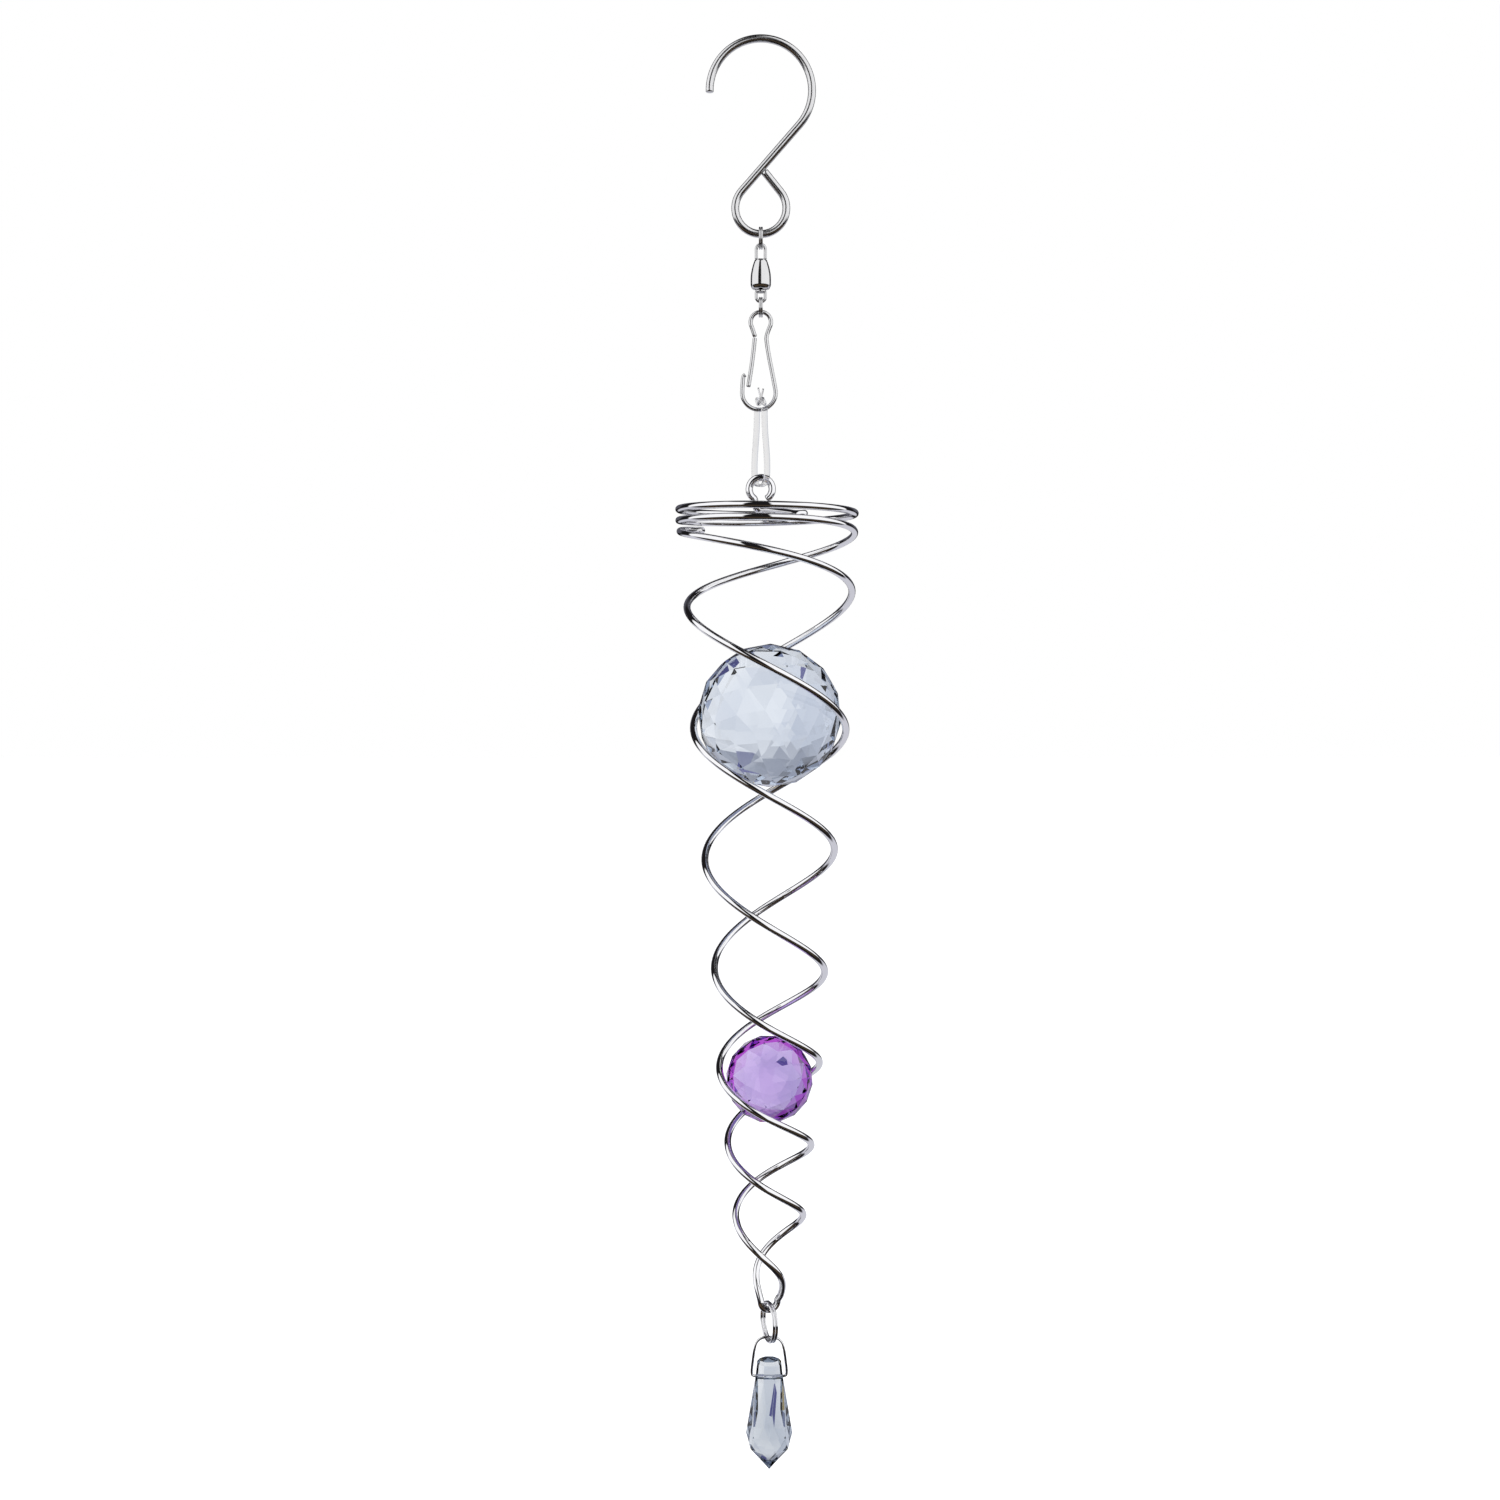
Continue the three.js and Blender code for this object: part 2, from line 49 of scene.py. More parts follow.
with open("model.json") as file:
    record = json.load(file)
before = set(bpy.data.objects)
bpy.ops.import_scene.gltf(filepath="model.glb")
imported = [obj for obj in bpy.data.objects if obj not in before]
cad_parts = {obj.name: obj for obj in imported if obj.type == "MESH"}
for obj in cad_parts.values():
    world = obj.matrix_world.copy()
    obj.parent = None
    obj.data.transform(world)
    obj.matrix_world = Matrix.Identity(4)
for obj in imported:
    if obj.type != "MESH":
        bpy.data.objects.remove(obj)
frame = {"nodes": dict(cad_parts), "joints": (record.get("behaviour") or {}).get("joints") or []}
cad_low, cad_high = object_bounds()
PIVOT = {j["name"]: Vector(j["pos_m"]) for j in frame["joints"]}


def middle(node):
    low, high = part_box(node)
    return (low + high) / 2


# ---------------------------------------------------------------- sizes
# As in the CAD model, apart from three: the hook's closing gap is smaller, the gate arm starts 0.2 mm nearer
# the end of the clip's wire, and the strap is 0.1 mm thinner.

HOOK_WIRE = 0.0026
HOOK_GAP = 0.0001  # between the teardrop's end and the leg
CROOK_R = 0.017
TEAR_R = 0.0085
CROOK_TO_TEAR = 0.0386
TEAR_TIP = 0.013

SPLIT_TURNS = 1.92
SPLIT_STEP = 1.1  # from one turn of a split ring to the next, in wire diameters
SMALL_RING_WIRE = 0.00062
TIP_RING_WIRE = 0.00095

EYE_WIRE = 0.001  # the swivel's eyes
EYE_HALF = 0.0015
EYE_LEG = 0.0039
SWIVEL_GAP = 0.0003

CLIP_WIRE = 0.0014
CLIP_TOP_R = 0.0034
CLIP_NECK = (0.00193, -0.0082)
CLIP_SIDE = [(0.0039, -0.0205), (0.0029, -0.0155), (0.00215, -0.011)]
CLIP_FOOT_R = 0.0056
CLIP_FOOT = (-0.0006, -0.0268)
CLIP_LATCH = [(-0.0052, -0.0208), (-0.00575, -0.0213), (-0.00605, -0.0234)]
GATE = [(-0.00201, -0.0086), (-0.00235, -0.012), (-0.0031, -0.018), (-0.00415, -0.0248)]

STRAP_WIDTH = 0.0023
STRAP_THICK = 0.0006
STRAP_TURN = math.radians(30)  # the front leg lies this far round to the right
# From the knot down the front leg, under the eye's wire and up the back leg: distance to the back, and
# height over the wire.
STRAP_ROUTE = [
    (-0.00245, 0.02305),
    (-0.00245, 0.0215),
    (-0.0026, 0.018),
    (-0.0030, 0.014),
    (-0.0036, 0.010),
    (-0.0041, 0.006),
    (-0.0042, 0.003),
    (-0.0041, 0.0007),
    (-0.0035, -0.0011),
    (-0.0025, -0.0022),
    (-0.0012, -0.00265),
    (0.0, -0.00275),
    (0.0012, -0.00265),
    (0.0025, -0.0022),
    (0.0035, -0.0011),
    (0.0041, 0.0007),
    (0.0042, 0.003),
    (0.0041, 0.006),
    (0.0036, 0.010),
    (0.0030, 0.014),
    (0.0026, 0.018),
    (0.00245, 0.0215),
    (0.00245, 0.02305),
]

WIRE = 0.0024  # the spiral's wire
SPIRAL_EYE_R = 0.00385
SPIRAL_EYE_Z = 0.05525
BAR_Z = 0.0486
BAR_AZIMUTH = math.radians(62)
BIGHT_R = 0.003
BIGHT_Z = -0.2217
BIGHT_TURN = math.radians(18)
FREE_END = -1.23  # the half turn where strand b is cut off
LARGE_BALL_Z = -0.0208
# Each half turn of the wire: the heights of strand a's and strand b's centre, and the radius of both.
FIRST_HALF_TURN = -5
HALF_TURNS = [
    (0.0493, 0.0440, 0.0296),
    (0.0485, 0.0440, 0.0296),
    (0.0470, 0.0430, 0.0296),
    (0.0448, 0.0420, 0.0296),
    (0.0404, 0.0412, 0.0293),
    (0.0158, 0.0203, 0.0278),
    (-0.0266, -0.0250, 0.0257),
    (-0.0700, -0.0672, 0.0219),
    (-0.1086, -0.1070, 0.0187),
    (-0.1412, -0.1395, 0.0170),
    (-0.1679, -0.1671, 0.0142),
    (-0.1932, -0.1924, 0.0114),
    (-0.2195, -0.2175, 0.0039),
]
COIL_SHIFT = -0.0009  # the top coil sits a little to the left of the axis
COIL_FOOT = 0.012  # from this height upwards

BAIL_WIRE = 0.0009
# Half of the bail, from its pin end up to the crown: distance from its middle and depth under the crown.
BAIL_SIDE = [
    (0.0010, 0.0136),
    (0.0032, 0.0136),
    (0.0050, 0.0136),
    (0.00575, 0.0133),
    (0.0060, 0.0124),
    (0.0056, 0.008),
    (0.0050, 0.004),
    (0.0044, 0.002),
    (0.0032, 0.0007),
    (0.0016, 0.0001),
]

SPIRAL_ZERO = middle("large_crystal_ball") - Vector((0, 0, LARGE_BALL_Z))


# ---------------------------------------------------------------- camera

CAMERA_ASIDE = 0.0066  # left of the spiral's axis
CAMERA_DISTANCE = 0.64
CAMERA_DOWN = 2.9  # degrees below level


def add_camera():
    camera = bpy.data.objects.new("camera", bpy.data.cameras.new("camera"))
    bpy.context.scene.collection.objects.link(camera)
    camera.location = (SPIRAL_ZERO.x - CAMERA_ASIDE, -CAMERA_DISTANCE, SPIRAL_ZERO.z)
    camera.rotation_euler = (math.radians(90 - CAMERA_DOWN), 0, 0)
    camera.data.lens = 45.5
    camera.data.sensor_width = 36
    camera.data.clip_start = 0.01
    camera.data.clip_end = 50
    bpy.context.scene.camera = camera


add_camera()


# ---------------------------------------------------------------- shape helpers

ASKEW = (0.3, 0.2, 0.9)  # along no bar's start, so a round section can be set square to it


def smooth_through(points, per_span=8, power=0.5):
    """Points along a Catmull-Rom curve through the given ones: centripetal at power 0.5, uniform at 0."""
    given = np.array([tuple(p) for p in points], float)
    p = np.vstack([2 * given[0] - given[1], given, 2 * given[-1] - given[-2]])
    step = np.linalg.norm(np.diff(p, axis=0), axis=1) ** power
    out = []
    for i in range(len(given) - 1):
        before, start, end, after = p[i : i + 4]
        d0, d1, d2 = step[i : i + 3]
        leave = ((start - before) / d0 - (end - before) / (d0 + d1)) * d1 + (end - start)
        arrive = (end - start) + ((after - end) / d2 - (after - start) / (d1 + d2)) * d1
        for t in np.arange(per_span) / per_span:
            out.append(
                (2 * t**3 - 3 * t**2 + 1) * start
                + (t**3 - 2 * t**2 + t) * leave
                + (3 * t**2 - 2 * t**3) * end
                + (t**3 - t**2) * arrive
            )
    return np.array(out + [given[-1]])


def arc(x, z, r, start, end, count):
    """Points on an arc in the XZ plane, angles in degrees from +X towards +Z."""
    a = np.radians(np.linspace(start, end, count + 1))
    return np.stack([x + r * np.cos(a), 0 * a, z + r * np.sin(a)], axis=1)


def circle(diameter, sides):
    a = 2 * np.pi * np.arange(sides) / sides
    return diameter / 2 * np.stack([np.cos(a), np.sin(a)], axis=1)


def unit(v):
    return v / np.linalg.norm(v, axis=-1, keepdims=True)


def lengths_along(path):
    return np.concatenate([[0], np.cumsum(np.linalg.norm(np.diff(path, axis=0), axis=1))])


def chamfered(path, tangent, chamfer):
    """The path with a station just inside each end, and the tangent at each of its stations."""
    along = lengths_along(path)
    inner = (along > 1.5 * chamfer) & (along < along[-1] - 1.5 * chamfer)
    start, end = tangent[0], tangent[-1]
    first, last = path[0] + start * chamfer, path[-1] - end * chamfer
    stations = np.vstack([path[0], first, path[inner], last, path[-1]])
    return stations, np.vstack([start, start, tangent[inner], end, end])


def sweep(path, section, normal=None, chamfer=0.0):
    """Vertices, faces and grain coordinates of a bar of the given section along the path, without twist."""
    path = np.array(path, float)
    tangent = unit(np.gradient(path, axis=0))
    if chamfer:
        path, tangent = chamfered(path, tangent, chamfer)
    scale = np.ones(len(path))
    scale[[0, -1]] = 1 - chamfer / np.abs(section).max()
    along = lengths_along(path)
    side = np.array(normal, float) if normal is not None else np.cross(tangent[0], ASKEW)
    verts, grain, faces = [], [], []
    for point, t, s, length in zip(path, tangent, scale, along):
        side = unit(side - t * side.dot(t))
        up = np.cross(t, side)
        for u, v in section * s:
            verts.append(point + side * u + up * v)
            grain.append((u, v, length))
    n = len(section)
    for k in range(len(path) - 1):
        for i in range(n):
            a, b = k * n + i, k * n + (i + 1) % n
            faces.append((a, b, b + n, a + n))
    faces.append(tuple(range(n))[::-1])
    faces.append(tuple(range(len(verts) - n, len(verts))))
    return verts, faces, grain


def lathe(profile, segments=64):
    """A turned body from (radius, height) points, closed at the axis or back on itself."""
    closed = profile[0] == profile[-1]
    rows = profile[:-1] if closed else profile
    verts, rings = [], []
    for r, z in rows:
        count = 1 if r == 0 else segments
        rings.append((len(verts), count))
        for i in range(count):
            a = 2 * math.pi * i / segments
            verts.append(np.array((r * math.cos(a), r * math.sin(a), z)))
    faces = []
    for k in range(len(rows) if closed else len(rows) - 1):
        (a0, na), (b0, nb) = rings[k], rings[(k + 1) % len(rows)]
        for i in range(segments):
            j = (i + 1) % segments
            face = [a0 + i % na, a0 + j % na, b0 + j % nb, b0 + i % nb]
            faces.append(tuple(dict.fromkeys(face)))
    return verts, faces, [tuple(v) for v in verts]


def rounded(profile, radius=0.0001):
    """The same profile with each corner cut back, for edges that catch the light."""
    out = [profile[0]]
    for before, corner, after in zip(profile, profile[1:], profile[2:]):
        c = np.array(corner, float)
        for other in (before, after):
            d = np.array(other, float) - c
            length = np.linalg.norm(d)
            out.append(tuple(c + d / length * min(radius, length / 3)))
    return out + [profile[-1]]


def piece(name, parts, material, slot, body, *replaced, at=(0, 0, 0), turn=0.0):
    """One object from swept or turned parts, placed, given its material and tied to its CAD body."""
    verts, faces, grain = [], [], []
    for part_verts, part_faces, part_grain in parts:
        base = len(verts)
        verts += [tuple(v) for v in part_verts]
        faces += [tuple(base + i for i in f) for f in part_faces]
        grain += part_grain
    mesh = bpy.data.meshes.new(name)
    mesh.from_pydata(verts, [], faces)
    field = mesh.attributes.new("grain", "FLOAT_VECTOR", "POINT")
    field.data.foreach_set("vector", np.array(grain, np.float32).ravel())
    for face in mesh.polygons:
        face.use_smooth = len(face.vertices) <= 4
    mesh.materials.append(material)
    obj = bpy.data.objects.new(name, mesh)
    bpy.context.scene.collection.objects.link(obj)
    obj.rotation_euler = (0, 0, turn)
    obj.location = at
    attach(obj, body)
    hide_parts(*replaced)
    return obj


# ---------------------------------------------------------------- materials

def add_node(tree, kind, **settings):
    """A node with its own settings by attribute name and its inputs by socket name (spaces as _)."""
    node = tree.nodes.new(kind)
    for key, value in settings.items():
        if hasattr(node, key):
            setattr(node, key, value)
            continue
        socket = node.inputs[key.replace("_", " ")]
        if isinstance(value, bpy.types.NodeSocket):
            tree.links.new(value, socket)
        else:
            socket.default_value = value
    return node


def new_material(name, **inputs):
    material = bpy.data.materials.new(name)
    material.use_nodes = True
    shader = material.node_tree.nodes["Principled BSDF"]
    for key, value in inputs.items():
        shader.inputs[key.replace("_", " ")].default_value = value
    return material, material.node_tree, shader


def grain_noise(tree, across, along, detail=3.0):
    """Noise drawn out along a wire or strap: cells per metre across it and along it."""
    field = add_node(tree, "ShaderNodeAttribute", attribute_name="grain")
    scaled = add_node(tree, "ShaderNodeVectorMath", operation="MULTIPLY")
    tree.links.new(field.outputs["Vector"], scaled.inputs[0])
    scaled.inputs[1].default_value = (across, across, along)
    noise = add_node(tree, "ShaderNodeTexNoise", Scale=1.0, Detail=detail, Vector=scaled.outputs[0])
    return noise.outputs["Fac"]


def solid_noise(tree, scale, detail=2.0):
    place = add_node(tree, "ShaderNodeTexCoord")
    noise = add_node(tree, "ShaderNodeTexNoise", Scale=scale, Detail=detail, Vector=place.outputs["Object"])
    return noise.outputs["Fac"]


def between(tree, value, low, high):
    ramp = add_node(tree, "ShaderNodeMapRange", Value=value)
    ramp.inputs["From Min"].default_value = 0.3
    ramp.inputs["From Max"].default_value = 0.7
    ramp.inputs["To Min"].default_value = low
    ramp.inputs["To Max"].default_value = high
    return ramp.outputs["Result"]


def fade(tree, value, start, end):
    """0 before start and 1 after end, or the other way round when start is the larger."""
    node = add_node(tree, "ShaderNodeMapRange", interpolation_type="SMOOTHSTEP", Value=value)
    node.inputs["From Min"].default_value = min(start, end)
    node.inputs["From Max"].default_value = max(start, end)
    node.inputs["To Min"].default_value = float(start > end)
    node.inputs["To Max"].default_value = float(start < end)
    return node.outputs["Result"]


def mix_colours(tree, factor, first, second):
    mix = add_node(tree, "ShaderNodeMix", data_type="RGBA")
    tree.links.new(factor, mix.inputs["Factor"])
    for name, colour in (("A", first), ("B", second)):
        socket = next(s for s in mix.inputs if s.type == "RGBA" and s.name == name)
        if isinstance(colour, bpy.types.NodeSocket):
            tree.links.new(colour, socket)
        else:
            socket.default_value = (*colour, 1)
    return next(o for o in mix.outputs if o.type == "RGBA")


def bump(tree, shader, *layers):
    """Bump layers, each a height and its depth in metres."""
    normal = None
    for height, depth in layers:
        node = add_node(tree, "ShaderNodeBump", Height=height, Distance=depth, Strength=1.0)
        if normal is not None:
            tree.links.new(normal, node.inputs["Normal"])
        normal = node.outputs["Normal"]
    tree.links.new(normal, shader.inputs["Normal"])


def plated(name, light, dark, roughness, ripple):
    """Bright plating: slow ripples of the buffed wire under it, and a breath of haze."""
    material, tree, shader = new_material(name, Metallic=1.0)
    cloud = solid_noise(tree, 160)
    tree.links.new(mix_colours(tree, cloud, light, dark), shader.inputs["Base Color"])
    haze = solid_noise(tree, 900, 4)
    tree.links.new(between(tree, haze, roughness * 0.5, roughness * 1.5), shader.inputs["Roughness"])
    bump(tree, shader, (solid_noise(tree, 220), ripple), (grain_noise(tree, 5000, 90), ripple * 0.02))
    return material


def drawn_steel(name, light, dark, roughness, depth):
    """Bare stainless steel with fine lines along it."""
    material, tree, shader = new_material(name, Metallic=1.0)
    lines = grain_noise(tree, 3500, 45, 4)
    tree.links.new(mix_colours(tree, lines, light, dark), shader.inputs["Base Color"])
    worn = grain_noise(tree, 700, 250)
    tree.links.new(between(tree, worn, roughness * 0.7, roughness * 1.35), shader.inputs["Roughness"])
    bump(tree, shader, (lines, depth), (solid_noise(tree, 500), depth * 1.5))
    return material


def crystal(name, passed, density):
    """Cut glass: polished facets over a body that takes a little colour from what passes through it."""
    material, tree, shader = new_material(name, Transmission_Weight=1.0, IOR=1.53)
    cloud = solid_noise(tree, 120)
    tree.links.new(mix_colours(tree, cloud, (1, 1, 1), (0.97, 0.98, 1)), shader.inputs["Base Color"])
    polish = solid_noise(tree, 700, 3)
    tree.links.new(between(tree, polish, 0.0, 0.008), shader.inputs["Roughness"])
    bump(tree, shader, (solid_noise(tree, 260), 0.000001))
    body = add_node(tree, "ShaderNodeVolumeAbsorption", Color=(*passed, 1), Density=density)
    output = next(n for n in tree.nodes if n.type == "OUTPUT_MATERIAL")
    tree.links.new(body.outputs["Volume"], output.inputs["Volume"])
    return material


def paint_rim_tint(material, tint):
    """A magenta tint painted into the glass's colour where a facet is seen at a shallow angle: painted shade
    that stands in for the deeper colour that longer paths and reflections inside give the rim of a coated
    crystal.
    """
    tree = material.node_tree
    shader = tree.nodes["Principled BSDF"]
    glass = shader.inputs["Base Color"].links[0].from_socket
    angle = add_node(tree, "ShaderNodeLayerWeight", Blend=0.5).outputs["Facing"]
    shallow = fade(tree, angle, 0.24, 0.5)
    tree.links.new(mix_colours(tree, shallow, glass, tint), shader.inputs["Base Color"])


def clear_plastic(name):
    """Clear extruded plastic, faintly lined along its length."""
    material, tree, shader = new_material(name, Transmission_Weight=1.0, IOR=1.47)
    lines = grain_noise(tree, 2500, 60)
    tint = mix_colours(tree, lines, (0.93, 0.92, 0.91), (0.76, 0.75, 0.74))
    tree.links.new(tint, shader.inputs["Base Color"])
    tree.links.new(between(tree, grain_noise(tree, 900, 300), 0.03, 0.12), shader.inputs["Roughness"])
    bump(tree, shader, (lines, 0.000002))
    return material


CHROME = plated("chrome_wire", (0.93, 0.93, 0.94), (0.88, 0.88, 0.9), 0.025, 0.000008)
FITTING = plated("chrome_fittings", (0.9, 0.9, 0.91), (0.83, 0.83, 0.85), 0.04, 0.000006)
BEARING = plated("bearing_steel", (0.84, 0.85, 0.87), (0.78, 0.79, 0.81), 0.05, 0.000001)
STAINLESS = drawn_steel("stainless_wire", (0.82, 0.82, 0.82), (0.66, 0.66, 0.67), 0.19, 0.000004)
TURNED = drawn_steel("swivel_steel", (0.80, 0.80, 0.80), (0.70, 0.70, 0.71), 0.10, 0.000002)
CLEAR = crystal("clear_crystal", (0.20, 0.38, 0.62), 7)
VIOLET = crystal("violet_crystal", (0.45, 0.14, 0.80), 34)
# The violet ball's magenta rim is painted shade, a tint mixed into its colour by viewing angle.
paint_rim_tint(VIOLET, (0.66, 0.04, 0.66))
DROP = crystal("drop_crystal", (0.42, 0.50, 0.60), 60)
PLASTIC = clear_plastic("clear_plastic")


# ---------------------------------------------------------------- clear strap

def strap_section():
    """A flat bar with round edges."""
    half, edge = STRAP_WIDTH / 2, STRAP_THICK / 2
    a = np.radians(np.linspace(0, 180, 9))
    top = np.stack([edge * np.cos(a), half - edge + edge * np.sin(a)], axis=1)
    return np.vstack([top, -top])


def add_strap():
    wire_z = PIVOT["spiral_swing"].z
    across = (-math.sin(STRAP_TURN), math.cos(STRAP_TURN))
    route = [(y * across[0], y * across[1], wire_z + z) for y, z in STRAP_ROUTE]
    path = smooth_through(route, 10)
    outward = (-across[0], -across[1], 0)
    strap = piece(
        "hanging_strap_clear",
        [sweep(path, strap_section(), outward)],
        PLASTIC, "clear_plastic", "strap", "hanging_strap",
    )
    knot = add_knot()


def add_knot():
    """One closed trefoil of the strap, which stands for its overhand knot, and the two cut tails."""
    low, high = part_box("strap_knot")
    centre, half = (low + high) / 2, (high - low) / 2
    t = np.linspace(0, 2 * np.pi, 97)
    loop = np.stack([np.sin(t) + 2 * np.sin(2 * t), np.cos(t) - 2 * np.cos(2 * t), -np.sin(3 * t)], axis=1)
    loop *= np.array([half.x, half.y, half.z]) * np.array([0.25, 0.27, 0.6])
    parts = [sweep(loop + np.array(centre), strap_section() * np.array([1.2, 0.42]))]
    for side in (-1, 1):
        tail = smooth_through([
            centre + Vector((0, side * 0.0006, 0.0006)),
            centre + Vector((side * 0.0003, side * 0.0011, 0.0022)),
            centre + Vector((side * 0.0008, side * 0.0018, 0.0042)),
        ])
        parts.append(sweep(tail, strap_section() * np.array([0.9, 0.8]), (1, 0, 0)))
    return piece("strap_knot_tied", parts, PLASTIC, "clear_plastic", "strap", "strap_knot")


add_strap()


# ---------------------------------------------------------------- swivel hook

def wire(points, diameter, per_span=6, sides=24, chamfer=0.08):
    return sweep(smooth_through(points, per_span), circle(diameter, sides), chamfer=chamfer * diameter)


def add_hook():
    lean = math.asin((CROOK_R + TEAR_R) / CROOK_TO_TEAR)
    crook_z = -(CROOK_R - HOOK_WIRE / 2)
    tear_z = crook_z - CROOK_TO_TEAR
    side = np.array((math.cos(lean), 0, -math.sin(lean)))
    leg_x = -TEAR_R * side[0] + (TEAR_TIP + TEAR_R * side[2]) * math.tan(lean)
    end = np.array((leg_x, 0, tear_z + TEAR_TIP)) + side * (HOOK_WIRE / 2 + HOOK_GAP)
    rise = (end[0], end[2] - tear_z)
    leave = math.degrees(math.atan2(rise[1], rise[0]) - math.acos(TEAR_R / math.hypot(*rise)))
    crook = arc(0, crook_z, CROOK_R, 182, -math.degrees(lean), 40)
    tear = arc(0, tear_z, TEAR_R, 180 - math.degrees(lean), 360 + leave, 30)
    leg = np.linspace(crook[-1], tear[0], 10)[1:-1]
    foot = np.linspace(tear[-1], end, 4)[1:]
    bar = wire(np.vstack([crook, leg, tear, foot]), HOOK_WIRE, 3, 32)
    piece("s_hook_wire", [bar], STAINLESS, "stainless_wire", "hook", "s_hook")


def split_ring(node, wire_diameter, end_angle):
    """Nearly two turns of wire that lie beside each other and step across half way."""
    low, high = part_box(node)
    r = (high.z - low.z - wire_diameter) / 2
    t = np.linspace(0, 1, 161)
    a = math.radians(end_angle) + 2 * np.pi * SPLIT_TURNS * t
    s = np.clip((t - 0.44) / 0.12, 0, 1)
    step = (3 * s**2 - 2 * s**3 - 0.5) * SPLIT_STEP * wire_diameter
    path = np.stack([step, r * np.cos(a), r * np.sin(a)], axis=1)
    return sweep(path, circle(wire_diameter, 16), chamfer=0.1 * wire_diameter)


def add_rings():
    for node, body in (("upper_split_ring", "upper_ring"), ("lower_split_ring", "lower_ring")):
        ring = split_ring(node, SMALL_RING_WIRE, 60)
        piece(f"{node}_wire", [ring], STAINLESS, "stainless_wire", body, node, at=middle(node))
    ring = split_ring("tip_ring", TIP_RING_WIRE, 100)
    piece(
        "tip_ring_wire", [ring], FITTING, "chrome_fittings", "tip_ring", "tip_ring",
        at=middle("tip_ring"), turn=BIGHT_TURN,
    )


def arch(leg, upward=1):
    """An arch of wire with two straight legs, the top of its crown at the origin."""
    crown = arc(0, -EYE_HALF, EYE_HALF, 180, 0, 16)
    feet = [np.linspace((x, 0, -EYE_HALF - leg), (x, 0, -EYE_HALF), 5) for x in (-EYE_HALF, EYE_HALF)]
    return np.vstack([feet[0][:-1], crown, feet[1][::-1][1:]]) * (1, 1, upward)


def add_swivel():
    eye_z = PIVOT["swivel_swing"].z
    upper = arch(EYE_LEG - EYE_WIRE / 2 - SWIVEL_GAP / 2)
    piece(
        "swivel_upper_eye_wire", [wire(upper, EYE_WIRE, 3)], TURNED, "stainless_wire", "swivel",
        "swivel_upper_eye", at=(0, 0, eye_z),
    )
    low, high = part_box("swivel_barrel")
    mouth = high.z - low.z
    casing = rounded([
        (0, -0.0032),
        (0.00245, -0.0036),
        (0.00245, -mouth),
        (0.00285, -mouth),
        (0.0034, -0.0086),
        (0.0034, -0.0062),
        (0.0033, -0.0048),
        (0.00295, -0.003),
        (0.00245, -0.0013),
        (0.00195, 0),
        (0, 0),
    ], 0.00022)
    piece(
        "swivel_barrel_turned", [lathe(casing)], TURNED, "swivel_steel", "swivel", "swivel_barrel",
        at=(0, 0, high.z),
    )
    stem = rounded([
        (0, -0.0011),
        (0.00175, -0.0011),
        (0.00175, -SWIVEL_GAP),
        (0.0006, -SWIVEL_GAP),
        (0.0006, 0.00295),
        (0.0019, 0.00295),
        (0.0017, 0.00405),
        (0, 0.00415),
    ])
    lower = arch(EYE_LEG - EYE_HALF - 0.0005, -1) - np.array((0, 0, SWIVEL_GAP + EYE_LEG))
    foot_z = PIVOT["swivel_spin"].z
    piece(
        "swivel_lower_eye_turned", [lathe(stem, 40), wire(lower, EYE_WIRE, 3)], TURNED, "stainless_wire",
        "lower_eye", "swivel_lower_eye", at=(0, 0, foot_z),
    )


def flat(points):
    return [(x, 0, z) for x, z in points]


def add_clip():
    at = PIVOT["clip_swing"]
    neck_x, neck_z = CLIP_NECK
    foot = arc(*CLIP_FOOT, CLIP_FOOT_R, 178, 372, 28)
    loop = arc(0, -CLIP_TOP_R, CLIP_TOP_R, -28, 208, 24)
    points = np.vstack([
        flat(CLIP_LATCH),
        foot,
        flat(CLIP_SIDE),
        flat([CLIP_NECK]),
        loop,
        flat([(-neck_x, neck_z)]),
    ])
    piece(
        "snap_clip_wire", [wire(points, CLIP_WIRE, 4)], STAINLESS, "stainless_wire", "clip",
        "snap_clip", at=at,
    )
    piece(
        "snap_clip_gate_wire", [wire(flat(GATE), CLIP_WIRE, 12)], STAINLESS, "stainless_wire", "gate",
        "snap_clip_gate", at=at,
    )


add_hook()
add_rings()
add_swivel()
add_clip()


# ---------------------------------------------------------------- spiral

# The half turns where the bar meets the coil, where the wire's first stretch ends and where the tip begins.
BAR_END = -4.62
COIL_START = -4.4
TIP_START = 6


def strand(which, start, end, per_half_turn=40):
    """Points down one strand. It runs left, front, right, back; strand b lies opposite strand a."""
    height, ahead = (0, 1) if which == "a" else (1, 0)
    rows = [(i + FIRST_HALF_TURN, row[height], row[2]) for i, row in enumerate(HALF_TURNS)]
    dense = smooth_through(rows, 50, 0)
    t = np.linspace(start, end, round(abs(end - start) * per_half_turn) + 1)
    z = np.interp(t, dense[:, 0], dense[:, 1])
    r = np.interp(t, dense[:, 0], dense[:, 2])
    a = np.pi * (t + ahead)
    s = np.clip((z - COIL_FOOT) / (BAR_Z - COIL_FOOT), 0, 1)
    shift = COIL_SHIFT * (3 * s**2 - 2 * s**3)
    return np.stack([shift + r * np.cos(a), r * np.sin(a), z], axis=1)


